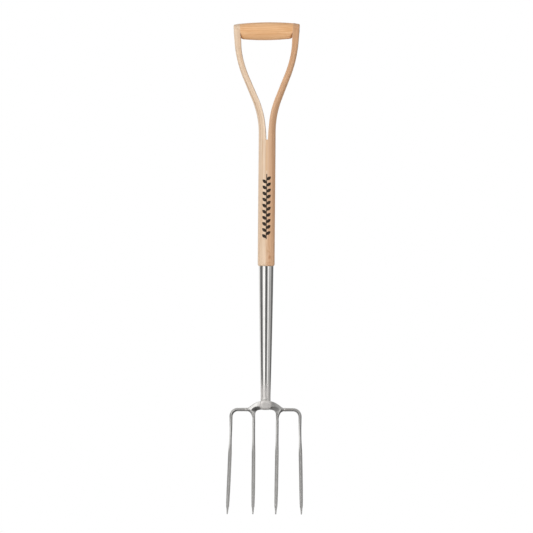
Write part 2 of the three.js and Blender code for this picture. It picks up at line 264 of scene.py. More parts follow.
def rounded(profile, radius, closed=False, steps=4):
    """The profile with each of its corners rounded off."""
    count = len(profile)
    result = []
    for i in range(count):
        here = Vector(profile[i])
        if not closed and i in (0, count - 1):
            result.append(tuple(here))
            continue
        before = Vector(profile[i - 1])
        after = Vector(profile[(i + 1) % count])
        reach = min(radius, 0.45 * (before - here).length, 0.45 * (after - here).length)
        start = here + (before - here).normalized() * reach
        end = here + (after - here).normalized() * reach
        for k in range(steps + 1):
            t = k / steps
            point = start * (1 - t) ** 2 + here * 2 * t * (1 - t) + end * t**2
            result.append(tuple(point))
    return result


def finish_surface(piece, sharp_degrees=40, weighted=True):
    """Smooth shading, with flats kept flat and edges over an angle kept sharp."""
    mesh = piece.data
    for polygon in mesh.polygons:
        polygon.use_smooth = True
    mesh.set_sharp_from_angle(angle=math.radians(sharp_degrees))
    if weighted:
        normals = piece.modifiers.new("flat_faces", "WEIGHTED_NORMAL")
        normals.keep_sharp = True
        normals.weight = 60
    return piece


def apply_modifiers(piece):
    graph = bpy.context.evaluated_depsgraph_get()
    mesh = bpy.data.meshes.new_from_object(piece.evaluated_get(graph), depsgraph=graph)
    old = piece.data
    piece.modifiers.clear()
    piece.data = mesh
    bpy.data.meshes.remove(old)
    return piece


def remove(piece):
    mesh = piece.data
    bpy.data.objects.remove(piece)
    bpy.data.meshes.remove(mesh)


def cut(piece, tool):
    boolean = piece.modifiers.new("cut", "BOOLEAN")
    boolean.operation = "DIFFERENCE"
    boolean.solver = "EXACT"
    boolean.object = tool
    apply_modifiers(piece)
    remove(tool)
    return piece


def mirrored(rings, side):
    """The rings of a right-hand piece, turned over to the left where side is -1."""
    if side > 0:
        return rings
    return [[Vector((-p.x, p.y, p.z)) for p in ring] for ring in rings]


def rod(name, radius, x_from, x_to, z, segments=48):
    """A round bar along X."""
    lie = Matrix.Translation((0, 0, z)) @ Matrix.Rotation(math.pi / 2, 4, "Y")
    return lofted(name, turned_rings([(radius, x_from), (radius, x_to)], segments, lie))


def bore_for_rivets(piece, radius, segments=48):
    """Drills a shaft or a socket from side to side at both of its rivets."""
    for place in ("upper", "lower"):
        z = centre("socket_rivet_" + place).z
        cut(piece, rod("bore", radius, -30 * MM, 30 * MM, z, segments))


def ride(piece, cad_node, material):
    piece.data.materials.clear()
    piece.data.materials.append(material)
    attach(piece, "root")
    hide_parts(cad_node)


# ---- handle ----

ARM_START = (SHAFT_R + SLOT_HALF) / 2
BEND_Z = up(853)
OUTER_POINTS = 48
INNER_POINTS = 15


def heading(lean):
    """The way up an arm that leans out by an angle, and the way out of the D there."""
    return Vector((math.sin(lean), math.cos(lean))), Vector((math.cos(lean), -math.sin(lean)))


def arm_bends():
    """The right arm's straight run: where it starts, and the hubs of the bends below and above it."""
    way, outward = heading(SPLAY)
    low = Vector((ARM_START + LOWER_BEND, BEND_Z))
    start = low - outward * LOWER_BEND
    return start, low, start + way * STRAIGHT_RUN - outward * UPPER_BEND


def arm_route():
    """The right arm's middle line from the foot of the spline's slot to the grip's axis."""
    _, low, high = arm_bends()
    route = Route(ARM_START, SPLINE_FOOT)
    route.arc(low.x, low.y, LOWER_BEND, math.pi, math.pi - SPLAY)
    route.arc(high.x, high.y, UPPER_BEND, -SPLAY, -ARM_LEAN)
    rise = GRIP_AXIS - route.here.y
    return route.line_to(route.here.x + rise * math.tan(ARM_LEAN), GRIP_AXIS)


SEAT_HALF = arm_route().here.x - ARM_THICKNESS / 2 / math.cos(ARM_LEAN)


def outside_arc(radius):
    """The round outside of the right half of the shaft, from one lip of the saw cut to the other."""
    reach = math.acos(SLOT_HALF / SHAFT_R)
    angles = [(2 * i / OUTER_POINTS - 1) * reach for i in range(OUTER_POINTS + 1)]
    return [(radius * math.cos(angle), radius * math.sin(angle)) for angle in angles]


def split_section():
    """Half of the round shaft beside the saw cut: the round outside, then the flat inside."""
    corners = [(x - ARM_START, y) for x, y in outside_arc(SHAFT_R)]
    edge = corners[-1][1]
    for i in range(INNER_POINTS):
        place = 1 - 2 * (i + 1) / (INNER_POINTS + 1)
        spread = math.copysign(1 - (1 - abs(place)) ** 2.2, place) if place else 0
        corners.append((SLOT_HALF - ARM_START, edge * spread))
    return corners


def bar_section(near_eye):
    """The shaved arm: a crowned outside, squarer towards the eye, and a flat inside with eased edges."""
    half = ARM_THICKNESS / 2
    depth = mix(ARM_HALF_DEPTH, GRIP_END_R, near_eye)
    ease = mix(2.2, 0.2, near_eye) * MM
    power = mix(0.5, 0.12, near_eye)
    corners = []
    for i in range(OUTER_POINTS + 1):
        turn = (2 * i / OUTER_POINTS - 1) * math.pi / 2
        rise = max(math.cos(turn), 0) ** power
        across = math.copysign(abs(math.sin(turn)) ** power, turn)
        taper = mix(1, EYE_OUTER_R / GRIP_END_R, rise * near_eye)
        corners.append((mix(-half + ease, half, rise), depth * across * taper))
    for i in range(INNER_POINTS):
        place = 1 - 2 * (i + 1) / (INNER_POINTS + 1)
        turn = min(1, (1 - abs(place)) / 0.5) * math.pi / 2
        if abs(place) >= 0.5:
            across = depth - ease * (1 - math.cos(turn))
            corners.append((-half + ease * (1 - math.sin(turn)), math.copysign(across, place)))
        else:
            corners.append((-half, (depth - ease) * place / 0.5))
    return corners


def arm_section(route, distance):
    share = (distance - (CROTCH - SPLINE_FOOT)) / (route.length - (CROTCH - SPLINE_FOOT))
    shaped = smooth(share, 0.06, 0.75)
    pairs = zip(split_section(), bar_section(smooth(share, 0.76, 0.97)))
    points = [(mix(a[0], b[0], shaped), mix(a[1], b[1], shaped)) for a, b in pairs]
    # The inside is shaved a little thinner between the crotch and the eye.
    shave = 0.15 * smooth(share, 0, 0.14) * (1 - smooth(share, 0.8, 0.95))
    return [(a * (1 - shave) if a < 0 else a, b) for a, b in points]


def arm_rings(route):
    """Section rings from the slot's foot to the grip's axis."""
    steps = 130
    places = [route.length * i / steps for i in range(steps + 1)]
    return [section_ring(route, place, no_depth, arm_section(route, place)) for place in places]


def close_eye(bm, ring, middle, side):
    """Carries the last section round the grip's axis, so that the arm ends in a round eye."""
    slices = 40
    back_half = list(range(OUTER_POINTS // 2, OUTER_POINTS + 1 + INNER_POINTS // 2 + 1))
    rise = side.cross(Vector((0, 1, 0)))
    rise = rise if rise.z > 0 else -rise
    total = len(ring)

    def mirror(index):
        if index <= OUTER_POINTS:
            return OUTER_POINTS - index
        return total - 1 - (index - OUTER_POINTS - 1)

    previous = [ring[i] for i in back_half]
    for q in range(1, slices + 1):
        angle = math.pi * q / slices
        if q == slices:
            current = [ring[mirror(i)] for i in back_half]
        else:
            current = []
            for i in back_half:
                if i in (back_half[0], back_half[-1]):
                    current.append(ring[i])
                    continue
                offset = ring[i].co - middle
                along = side * offset.dot(side)
                reach = offset.dot(Vector((0, 1, 0)))
                swung = Vector((0, math.cos(angle), 0)) * reach + rise * math.sin(angle) * reach
                current.append(bm.verts.new(middle + along + swung))
        for k in range(len(back_half) - 1):
            corners = [previous[k], previous[k + 1], current[k + 1], current[k]]
            unique = list(dict.fromkeys(corners))
            if len(unique) > 2:
                bm.faces.new(unique)
        previous = current


def shaft_profile():
    """Radius and height of the round stretch, from the tenon's foot up to the spline's slot."""
    tenon = [
        (socket_radius(SHAFT_TENON_FOOT) - SOCKET_LINING - 2 * MM, SHAFT_TENON_FOOT),
        (socket_radius(SHAFT_TENON_FOOT) - SOCKET_LINING, SHAFT_TENON_FOOT + 3 * MM),
    ]
    for i in range(1, 7):
        z = mix(SHAFT_TENON_FOOT, SHAFT_FOOT, i / 6)
        tenon.append((socket_radius(z) - SOCKET_LINING, z))
    foot_round = 5.4 * MM
    shoulder = [(MOUTH_R - SOCKET_LINING, SHAFT_FOOT + 0.1 * MM)]
    for i in range(9):
        turn = math.pi / 2 * i / 8
        radius = SHAFT_R - 2.4 * MM * (1 - math.sin(turn))
        shoulder.append((radius, SHAFT_FOOT + 0.1 * MM + foot_round * (1 - math.cos(turn))))
    straight = []
    for i in range(1, 41):
        straight.append((SHAFT_R, mix(shoulder[-1][1], SPLINE_FOOT, i / 40)))
    return tenon + shoulder + straight


def full_ring(radius, z):
    """A whole ring in the order of the two arms' outsides, with the slot's mouths between them."""
    reach = math.acos(SLOT_HALF / SHAFT_R)
    right = outside_arc(radius)
    back = []
    for i in range(1, 6):
        angle = mix(reach, math.pi - reach, i / 6)
        back.append((radius * math.cos(angle), radius * math.sin(angle)))
    half = right + back
    return [Vector((x, y, z)) for x, y in half] + [Vector((-x, -y, z)) for x, y in half]


def ash_shaft():
    bm = bmesh.new()
    profile = shaft_profile()
    rounds = loft_into(bm, [full_ring(radius, z) for radius, z in profile])
    cap(bm, rounds[0], flip=True)
    route = arm_route()
    right_points = arm_rings(route)
    middle, side, _ = frame_at(route, route.length, no_depth)
    made = {}
    for hand, way in (("right", 1), ("left", -1)):
        made[hand] = loft_into(bm, mirrored(right_points, way))
        hub, lean = mirrored([[middle, side]], way)[0]
        close_eye(bm, made[hand][-1], hub, lean)
    join_split(bm, rounds[-1], made["right"][0], made["left"][0])
    shaft = object_from(bm, "ash_shaft_wood")
    bore_for_rivets(shaft, 2.75 * MM)
    for hand in (-1, 1):
        near, far = sorted((hand * WASHER_SEAT - hand * 0.1 * MM, hand * 90 * MM))
        cut(shaft, rod("pocket", WASHER_R + 0.12 * MM, near, far, GRIP_AXIS, 64))
        near, far = sorted((hand * 40 * MM, hand * 90 * MM))
        cut(shaft, rod("bore", PIN_BORE, near, far, GRIP_AXIS))
    return shaft


def join_split(bm, ring, right, left):
    """Floors the slot between the arms, whose outsides start on the last whole ring."""
    outer = OUTER_POINTS + 1
    back = ring[outer : outer + 5]
    front = ring[2 * outer + 5 :]
    back_edge = [ring[outer - 1], *back, ring[outer + 5]]
    front_edge = [ring[2 * outer + 4], *front, ring[0]]
    bm.faces.new([*back_edge, *left[outer:], *front_edge, *reversed(right[outer:])])
    bmesh.ops.remove_doubles(bm, verts=[*ring, *right, *left], dist=1e-6)


def socket_radius(z):
    share = (z - SOCKET_FOOT) / (SHAFT_FOOT - SOCKET_FOOT)
    return mix(FOOT_R, MOUTH_R, share) + 4 * SOCKET_SWELL * share * (1 - share)


def along_arm(spot):
    """How far up the unbent arm a place on the right arm was, and how far out from its middle line."""
    start, low, high = arm_bends()
    way, outward = heading(SPLAY)
    bent = BEND_Z + SPLAY * LOWER_BEND
    out = low - spot
    turn = math.atan2(-out.y, out.x)
    if turn < SPLAY:
        return BEND_Z + turn * LOWER_BEND, LOWER_BEND - out.length
    offset = spot - start
    run = offset.dot(way)
    if run < STRAIGHT_RUN:
        return bent + run, offset.dot(outward)
    out = spot - high
    turn = SPLAY + math.atan2(out.y, out.x)
    if turn < SPLAY - ARM_LEAN:
        return bent + STRAIGHT_RUN + turn * UPPER_BEND, out.length - UPPER_BEND
    way, outward = heading(ARM_LEAN)
    offset = out - outward * UPPER_BEND
    top = bent + STRAIGHT_RUN + (SPLAY - ARM_LEAN) * UPPER_BEND
    return top + offset.dot(way), offset.dot(outward)


def unbend(point):
    """Where a point of the bent arm was before the split shaft was steamed and bent."""
    if point.z <= BEND_Z:
        return Vector(point)
    straight, across = along_arm(Vector((abs(point.x), point.z)))
    return Vector((math.copysign(ARM_START + across, point.x), point.y, straight))


def store_grain(piece, place):
    """Keeps, for each point of a piece, its place in the straight wood that it was made from."""
    mesh = piece.data
    grain = mesh.attributes.new("grain", "FLOAT_VECTOR", "POINT")
    for i, vert in enumerate(mesh.vertices):
        grain.data[i].vector = place(vert.co)


def set_by_hand(piece):
    """The shaft bows a touch to the right, and the D leans back out of square, as hand-bent ones do."""
    bow = 1.0 * MM
    lean_back = 2.1 * MM
    tilt = 0.014
    for vert in piece.data.vertices:
        height = vert.co.z
        vert.co.z += tilt * vert.co.x * smooth(height, up(960), up(1050))
        vert.co.x += bow * smooth(height, SHAFT_FOOT, up(860))
        vert.co.x -= lean_back * smooth(height, up(850), up(1000))
    return piece


def spline_strip():
    """The strip glued into the saw cut, flush with the shaft."""
    half = SLOT_HALF - 0.04 * MM
    reach = math.acos(half / SHAFT_R)
    outline = []
    for i in range(9):
        angle = mix(reach, math.pi - reach, i / 8)
        outline.append((SHAFT_R * math.cos(angle), SHAFT_R * math.sin(angle)))
    outline += [(-x, -y) for x, y in outline]
    rings = []
    for i in range(41):
        z = mix(SPLINE_FOOT + 0.05 * MM, CROTCH, i / 40)
        rings.append([Vector((x, y, z)) for x, y in outline])
    return lofted("crotch_spline_strip", rings)


def grip_barrel():
    """The barrel: crowned, seated flush on the leaning arms, its lower corners eased off."""
    rings = []
    steps = 96
    around = 128
    for i in range(steps + 1):
        along = 2 * i / steps - 1
        along = math.copysign(1 - (1 - abs(along)) ** 1.6, along)
        ring = []
        for k in range(around):
            angle = 2 * math.pi * k / around
            radius = mix(GRIP_MIDDLE_R, GRIP_END_R, along**2)
            high = math.sin(angle)
            seat = SEAT_HALF - 0.01 * MM + radius * high * math.tan(ARM_LEAN)
            x = along * seat
            ease = mix(0.1 * MM, 6.5 * MM, smooth(-high, 0.06, 0.66))
            from_end = seat - abs(x)
            if from_end < ease:
                drop = 1 - math.sqrt(max(0, 1 - (1 - from_end / ease) ** 2))
                radius -= 0.62 * ease * drop
            ring.append(Vector((x, radius * math.cos(angle), GRIP_AXIS + radius * high)))
        rings.append(ring)
    barrel = lofted("grip_barrel", rings)
    return cut(barrel, rod("bore", PIN_BORE, -80 * MM, 80 * MM, GRIP_AXIS))


def rivet_pin():
    """The pin with its two hammered domes."""
    head = 5.4 * MM
    shank = 4 * MM
    rise = PIN_END - 2 * MM
    dome = []
    for i in range(10):
        turn = math.pi / 2 * i / 9
        dome.append((max(head * math.sin(turn), 0.02 * MM), rise + 1.4 * MM * math.cos(turn) ** 0.8))
    upper = [(shank, rise), (head, rise + 0.02 * MM), *reversed(dome)]
    lower = [(radius, -height) for radius, height in reversed(upper)]
    lie = Matrix.Translation((0, 0, GRIP_AXIS)) @ Matrix.Rotation(math.pi / 2, 4, "Y")
    return lofted("grip_pin_rivet", turned_rings(lower + upper, 64, lie))


def washer(hand, side):
    thick = size("pin_washer_right").x
    square = [(PIN_BORE, 0), (WASHER_R, 0), (WASHER_R, thick), (PIN_BORE, thick)]
    profile = rounded(square, 0.25 * MM, closed=True)
    lie = Matrix.Translation((side * WASHER_SEAT, 0, GRIP_AXIS))
    lie = lie @ Matrix.Rotation(side * math.pi / 2, 4, "Y")
    return ring_body("pin_washer_ring_" + hand, profile, 64, lie)


# ---- head ----

RING_SPACING = 1.5 * MM
NECK_FOOT = up(190)
NECK_CUT = up(208)
TINE_END = up(0) + 0.8 * MM
SKIN_VOXEL = 0.55 * MM


def socket_tube():
    profile = []
    for i in range(41):
        z = mix(SOCKET_FOOT, SHAFT_FOOT, i / 40)
        profile.append((socket_radius(z), z))
    inside = [(radius - SOCKET_WALL, z) for radius, z in reversed(profile)]
    closed = rounded(profile + inside, 0.5 * MM, closed=True, steps=3)
    tube = ring_body("socket_tube", closed, 160)
    bore_for_rivets(tube, 2.68 * MM, 64)
    return tube


def socket_rivet(place):
    node = "socket_rivet_" + place
    z = centre(node).z
    half = socket_radius(z) + 0.02 * MM
    radius = size(node).z / 2
    ends = [(0.05 * MM, half), (0.7 * radius, half - 0.03 * MM), (radius - 0.15 * MM, half - 0.12 * MM)]
    ends.append((radius, half - 0.35 * MM))
    profile = [(r, -h) for r, h in ends] + list(reversed(ends))
    lie = Matrix.Translation((0, 0, z)) @ Matrix.Rotation(math.pi / 2, 4, "Y")
    return lofted(node + "_shank", turned_rings(profile, 64, lie))


def bevelled(back_corners, edge):
    """A bevelled section from the four corners of its back, with all its eight edges rounded."""
    front_corners = [(across, -back) for across, back in reversed(back_corners)]
    return rounded(back_corners + front_corners, edge, closed=True)


def bar_ring(width, depth, side_flat, front_flat, edge):
    """A bevelled bar's section, as (sideways, back) offsets in metres."""
    back = [(width, side_flat), (front_flat, depth), (-front_flat, depth), (-width, side_flat)]
    return bevelled(back, edge)


def between(stations, at):
    """The bar's [width, depth, side flat, front flat, edge] at a place between stations, in metres."""
    place = min(max(at, stations[0][0]), stations[-1][0])
    for low, high in zip(stations, stations[1:]):
        if place <= high[0]:
            share = smooth(place, low[0], high[0])
            return [mix(a, b, share) * MM for a, b in zip(low[1:], high[1:])]


def tine_stations(neck_half):
    """[height, width, depth, side flat, front flat, edge] from the tip to the neck."""
    return [
        (0, 1.4, 1.4, 0.2, 0.2, 0.7),
        (5, 1.7, 1.8, 0.2, 0.2, 0.7),
        (11.5, 2.3, 2.5, 0.2, 0.2, 0.8),
        (18.5, 3.4, 3.6, 0.2, 0.2, 0.8),
        (32, 3.8, 4.1, 0.2, 0.2, 0.8),
        (60, 4.1, 4.4, 0.2, 0.2, 0.8),
        (128, 4.1, 4.6, 0.2, 0.2, 0.8),
        (168, neck_half, 5.2, 1.0, 0.5, 1.0),
    ]


def bar_rings(route, stations, end):
    """Rings of a bar along a tine's route, its section set by the height."""
    rings = []
    steps = round(end / RING_SPACING)
    for i in range(steps + 1):
        distance = end * i / steps
        height = (route.at(distance)[0].y - up(0)) / MM
        offsets = bar_ring(*between(stations, height))
        rings.append(section_ring(route, distance, tine_depth, offsets))
    return rings


def blunt_end(rings):
    """Rounds off the last ring of a tine."""
    last = rings[-1]
    middle = sum(last, Vector()) / len(last)
    way = (middle - sum(rings[-2], Vector()) / len(last)).normalized()
    reach = 1.1 * MM
    for i in range(1, 6):
        turn = math.pi / 2 * i / 5.2
        rings.append([middle + (p - middle) * math.cos(turn) + way * reach * math.sin(turn) for p in last])
    return rings


def outer_route():
    route = Route(WELD_X + 0.8 * MM, SHOULDER)
    bend_x = OUTER_TINE_X - OUTER_BEND
    route.arc(bend_x, SHOULDER - OUTER_BEND, OUTER_BEND, math.pi / 2, 0)
    route.line_to(OUTER_TINE_X, NECK_FOOT)
    return route.line_to(OUTER_TIP_X, TINE_END)


def outer_tine(hand, side):
    route = outer_route()
    stations = [*tine_stations(2.9), ((SHOULDER - up(0)) / MM - 0.2, 3.7, 5.2, 1.5, 0.4, 0.9)]
    rings = blunt_end(bar_rings(route, stations, route.length))
    return lofted("outer_tine_bar_" + hand, mirrored(rings, side))


def inner_route():
    """An inner tine from its tip to the foot of the yoke."""
    route = Route(INNER_TIP_X, TINE_END)
    route.line_to(INNER_TINE_X, NECK_FOOT)
    return route.line_to(INNER_TINE_X, up(209))


# The yoke's right-hand half, from the neck of the inner tine up to the middle. Each section has three
# [x, height] places: on the upper outline, on the ridge, and on the outline between the tines.
YOKE_SECTIONS = [
    ((29.7, 200), (26.4, 200), (23.1, 200), 5.2),
    ((29.7, 213), (26.6, 213), (23.1, 213), 5.2),
    ((30.8, 218), (27.6, 217.5), (23.1, 217), 5.4),
    ((32.6, 222.3), (29.4, 221.5), (23, 220.5), 5.7),
    ((35.2, 226), (31.2, 225.5), (22.7, 223.5), 6),
    ((39.5, 228.7), (32.4, 229), (21.9, 226.3), 6.3),
    ((39.5, 235.3), (31.8, 232), (20.6, 228.2), 6.5),
    ((35.8, 238.2), (29.6, 234.8), (19, 229.6), 6.7),
    ((31.5, 241.6), (26.6, 236.8), (16.8, 230.6), 6.9),
    ((26, 245.3), (22.6, 238.3), (14, 231.3), 7.1),
    ((18.5, 249.2), (16.6, 239), (10.8, 231.7), 7.2),
    ((9, 251.5), (8.5, 239.2), (6, 231.8), 7.2),
    ((-3, 252), (-3, 239.2), (-3, 231.8), 7.2),
]


def through(before, start, end, after, t):
    """A smooth curve from start to end that heads on to its neighbours."""
    swing = (end - before) * 0.5
    leave = (after - start) * 0.5
    a = 2 * start - 2 * end + swing + leave
    b = 3 * end - 3 * start - 2 * swing - leave
    return ((a * t + b) * t + swing) * t + start


def yoke_ring(outer, ridge, inner, depth):
    """A section with rounded edges over its three places."""
    upper = (outer - ridge).length
    lower = (inner - ridge).length
    flat = 1
    back_corners = [(upper, flat), (0.06 * upper, depth), (-0.06 * lower, depth), (-lower, flat)]
    ring = []
    for across, back in bevelled(back_corners, 1.3):
        rail = (outer - ridge) * across / upper if across > 0 else (inner - ridge) * -across / lower
        spot = ridge + rail
        z = up(spot.y)
        ring.append(Vector((spot.x * MM, back * MM + tine_depth(z), z)))
    return ring


def yoke_half(side):
    """One side of the arch, with the flared top of its inner tine."""
    rails = []
    for section in YOKE_SECTIONS:
        rails.append([*(Vector(place) for place in section[:3]), section[3]])
    rings = []
    count = len(rails)
    for i in range(count - 1):
        near = [rails[min(max(k, 0), count - 1)] for k in (i - 1, i, i + 1, i + 2)]
        for step in range(6):
            places = [through(*(rail[k] for rail in near), step / 6) for k in range(4)]
            rings.append(yoke_ring(*places))
    rings.append(yoke_ring(*rails[-1]))
    return lofted("yoke_half", mirrored(rings, side))


def shoulder_bar(side):
    """The stub that reaches out to an outer tine."""
    route = Route(29 * MM, up(234))
    for i in range(1, 9):
        t = i / 8
        x = 29 * (1 - t) ** 2 + 36 * 2 * t * (1 - t) + 40 * t**2
        route.line_to(x * MM, SHOULDER + 2 * MM * (1 - t) ** 2)
    route.line_to(SHOULDER_BAR_END, SHOULDER)
    stations = [(0, 4.6, 6, 1.5, 0.4, 1.2), (1, 3.7, 5.2, 1.5, 0.4, 0.9)]
    rings = []
    for i in range(25):
        offsets = bar_ring(*between(stations, i / 24))
        rings.append(section_ring(route, route.length * i / 24, no_depth, offsets))
    return lofted("shoulder_bar", mirrored(rings, side))


def boss_pad():
    """The rounded pad in front of the yoke."""
    shape = [(-9, 9.6), (-5.6, 12.2), (7.4, 12.4), (10.8, 11.8), (12.7, 9.6), (13.4, 7)]
    rings = []
    for forward, half in shape:
        ring = []
        for i in range(96):
            angle = 2 * math.pi * i / 96
            across, rise = (math.copysign(abs(v) ** 0.62, v) for v in (math.cos(angle), math.sin(angle)))
            x = half * 1.07 * across + 0.5
            z = (half - 1.2) * rise
            ring.append(Vector((x * MM, -forward * MM, up(242.6 + z))))
        rings.append(ring)
    return lofted("boss_pad", rings)


def boss_neck():
    """The swelling that leads from the socket's foot down into the boss."""
    shape = [
        (253.1, 11.1, 11.1),
        (250.5, 11.6, 12.1),
        (247, 12.5, 13.1),
        (243, 13, 13.5),
        (239, 12.3, 13.2),
        (235.5, 9.8, 12),
        (233.3, 6, 10),
    ]
    rings = []
    for height, across, front in shape:
        ring = []
        for i in range(96):
            angle = 2 * math.pi * i / 96
            back = math.sin(angle) * (0.72 if math.sin(angle) > 0 else 1) * front
            ring.append(Vector((across * math.cos(angle) * MM, back * MM, up(height))))
        rings.append(ring)
    return lofted("boss_neck", rings)


def spigot():
    profile = [
        (9.9 * MM, up(236.5)),
        (10.9 * MM, up(253.1)),
        (socket_radius(SOCKET_FOOT) - SOCKET_LINING, up(253.2)),
        (socket_radius(SOCKET_FOOT) - SOCKET_LINING, SOCKET_FOOT),
        (socket_radius(SPIGOT_TOP) - SOCKET_LINING - 0.5 * MM, SPIGOT_TOP - 3 * MM),
        (socket_radius(SPIGOT_TOP) - SOCKET_LINING - 2.5 * MM, SPIGOT_TOP),
    ]
    return lofted("spigot", turned_rings(profile, 96))


def fused(parts):
    """One closed skin over overlapping bodies."""
    bm = bmesh.new()
    for part in parts:
        bm.from_mesh(part.data)
        remove(part)
    whole = object_from(bm, "head_yoke_forging")
    skin = whole.modifiers.new("skin", "REMESH")
    skin.mode = "VOXEL"
    skin.voxel_size = SKIN_VOXEL
    return apply_modifiers(whole)


def soften(piece, rounds):
    """Evens the skin out, which also fills its inner corners as a forging's are filled."""
    bm = bmesh.new()
    bm.from_mesh(piece.data)
    for _ in range(rounds):
        bmesh.ops.smooth_vert(
            bm, verts=bm.verts, factor=0.5, use_axis_x=True, use_axis_y=True, use_axis_z=True
        )
    bm.to_mesh(piece.data)
    bm.free()
    return piece


def boundary_loop(bm, side):
    """The open edges at one neck."""
    return [e for e in bm.edges if e.is_boundary and e.verts[0].co.x * side > 0]


def head_yoke():
    """Boss, arch and wings under one forged skin, with the inner tines drawn out below it."""
    parts = [boss_pad(), boss_neck(), spigot()]
    for side in (-1, 1):
        parts += [yoke_half(side), shoulder_bar(side)]
    yoke = soften(fused(parts), 10)
    bm = bmesh.new()
    bm.from_mesh(yoke.data)
    everything = bm.verts[:] + bm.edges[:] + bm.faces[:]
    bmesh.ops.bisect_plane(
        bm, geom=everything, plane_co=(0, 0, NECK_CUT), plane_no=(0, 0, -1), clear_outer=True
    )
    route = inner_route()
    for side in (-1, 1):
        rim = boundary_loop(bm, side)
        rings = bar_rings(route, tine_stations(3.3), NECK_CUT - up(0) - 1.8 * MM)
        made = loft_into(bm, mirrored(blunt_end(rings[::-1]), side))
        cap(bm, made[-1])
        top = made[0]
        ring_edges = [bm.edges.get((top[i], top[(i + 1) % len(top)])) for i in range(len(top))]
        bmesh.ops.bridge_loops(bm, edges=rim + ring_edges)
    remove(yoke)
    return object_from(bm, "head_yoke_forging")


def neck_weld():
    """The weld between collar and socket, ground until it barely stands proud."""
    inner = socket_radius(SOCKET_FOOT) - SOCKET_WALL + 0.1 * MM
    foot = up(253.15)
    top = SOCKET_FOOT + 0.05 * MM
    outside = []
    for i in range(9):
        share = i / 8
        radius = mix(10.95 * MM, FOOT_R + 0.02 * MM, share) + 0.35 * MM * math.sin(math.pi * share)
        outside.append((radius, mix(foot, top, share)))
    profile = [(inner, foot), *outside, (inner, top)]
    return ring_body("neck_weld_ring", profile, 160)


def shoulder_weld(hand, side):
    """A butt weld round the bar, dressed down to a low bead."""
    rings = []
    steps = 14
    for i in range(steps + 1):
        place = 2 * i / steps - 1
        swell = math.sqrt(max(0, 1 - place**2)) * 0.5
        offsets = bar_ring(*[v * MM for v in (3.65 + swell, 5.15 + swell, 1.6, 0.6, 1.6)])
        x = WELD_X + place * 1.5 * MM
        ring = []
        for a, b in offsets:
            ripple = 0.12 * MM * math.sin(9 * math.atan2(b, a) + 1.3 * place) * swell
            reach = 1 + ripple / math.hypot(a, b)
            ring.append(Vector((x, b * reach, SHOULDER - a * reach)))
        rings.append(ring)
    return lofted("shoulder_weld_bead_" + hand, mirrored(rings, side))


# ---- materials ----


def new_material(name):
    material = bpy.data.materials.new(name)
    material.use_nodes = True
    tree = material.node_tree
    tree.nodes.clear()
    return material, tree


def node(tree, kind, inputs=None, **settings):
    """A node with its settings, and its inputs as numbers or as what other nodes give."""
    made = tree.nodes.new(kind)
    for key, value in settings.items():
        setattr(made, key, value)
    for key, value in (inputs or {}).items():
        if isinstance(value, Given):
            tree.links.new(value.socket, made.inputs[key])
        else:
            made.inputs[key].default_value = value
    return made


def given(tree, kind, output, inputs=None, vector=False, **settings):
    return Given(tree, node(tree, kind, inputs, **settings).outputs[output], vector)


class Given:
    """What a node gives, as a number or a vector. Sums with it add the nodes that work them out."""

    def __init__(self, tree, socket, vector=False):
        self.tree = tree
        self.socket = socket
        self.vector = vector

    def made(self, operation, *inputs):
        kind = "ShaderNodeVectorMath" if self.vector else "ShaderNodeMath"
        measure = operation == "LENGTH"
        output = "Value" if measure else 0
        vector = self.vector and not measure
        return given(self.tree, kind, output, dict(enumerate(inputs)), vector, operation=operation)

    def op(self, operation, *others):
        return self.made(operation, self, *others)

    def clamped(self):
        """The same number, kept from 0 to 1 by the node that gives it."""
        self.socket.node.use_clamp = True
        return self

    def __abs__(self):
        return self.op("ABSOLUTE")

    def __add__(self, other):
        return self.op("ADD", other)

    def __sub__(self, other):
        return self.op("SUBTRACT", other)

    def __rsub__(self, other):
        return self.made("SUBTRACT", other, self)

    def __mul__(self, other):
        return self.op("MULTIPLY", other)

    def __truediv__(self, other):
        return self.op("DIVIDE", other)

    def __gt__(self, other):
        return self.op("GREATER_THAN", other)

    def __lt__(self, other):
        return self.op("LESS_THAN", other)


def split(place):
    """The X, Y and Z of a place."""
    parts = node(place.tree, "ShaderNodeSeparateXYZ", {"Vector": place})
    return [Given(place.tree, output) for output in parts.outputs]


def noise(place, scale, detail, roughness=0.5, output="Fac"):
    inputs = {"Vector": place, "Scale": scale, "Detail": detail, "Roughness": roughness}
    return given(place.tree, "ShaderNodeTexNoise", output, inputs, vector=output == "Color")


def ramp(share, stops):
    made = node(share.tree, "ShaderNodeValToRGB", {"Fac": share})
    elements = made.color_ramp.elements
    while len(elements) < len(stops):
        elements.new(0.5)
    for element, (place, value) in zip(elements, stops):
        element.position = place
        element.color = (value, value, value, 1)
    return Given(share.tree, made.outputs["Color"])


def blend_colours(tree, kind, share, a, b):
    inputs = {0: share, 6: a, 7: b}
    return given(tree, "ShaderNodeMix", 2, inputs, data_type="RGBA", blend_type=kind)


def bump(relief, strength, distance):
    inputs = {"Height": relief, "Strength": strength, "Distance": distance}
    return given(relief.tree, "ShaderNodeBump", "Normal", inputs)


def surface(tree, inputs):
    shader = given(tree, "ShaderNodeBsdfPrincipled", 0, inputs)
    node(tree, "ShaderNodeOutputMaterial", {"Surface": shader})


def srgb(red, green, blue):
    """A linear colour from the 0 to 255 values of a screen colour."""
    linear = []
    for value in (red, green, blue):
        share = value / 255
        linear.append(share / 12.92 if share <= 0.04045 else ((share + 0.055) / 1.055) ** 2.4)
    return (*linear, 1)


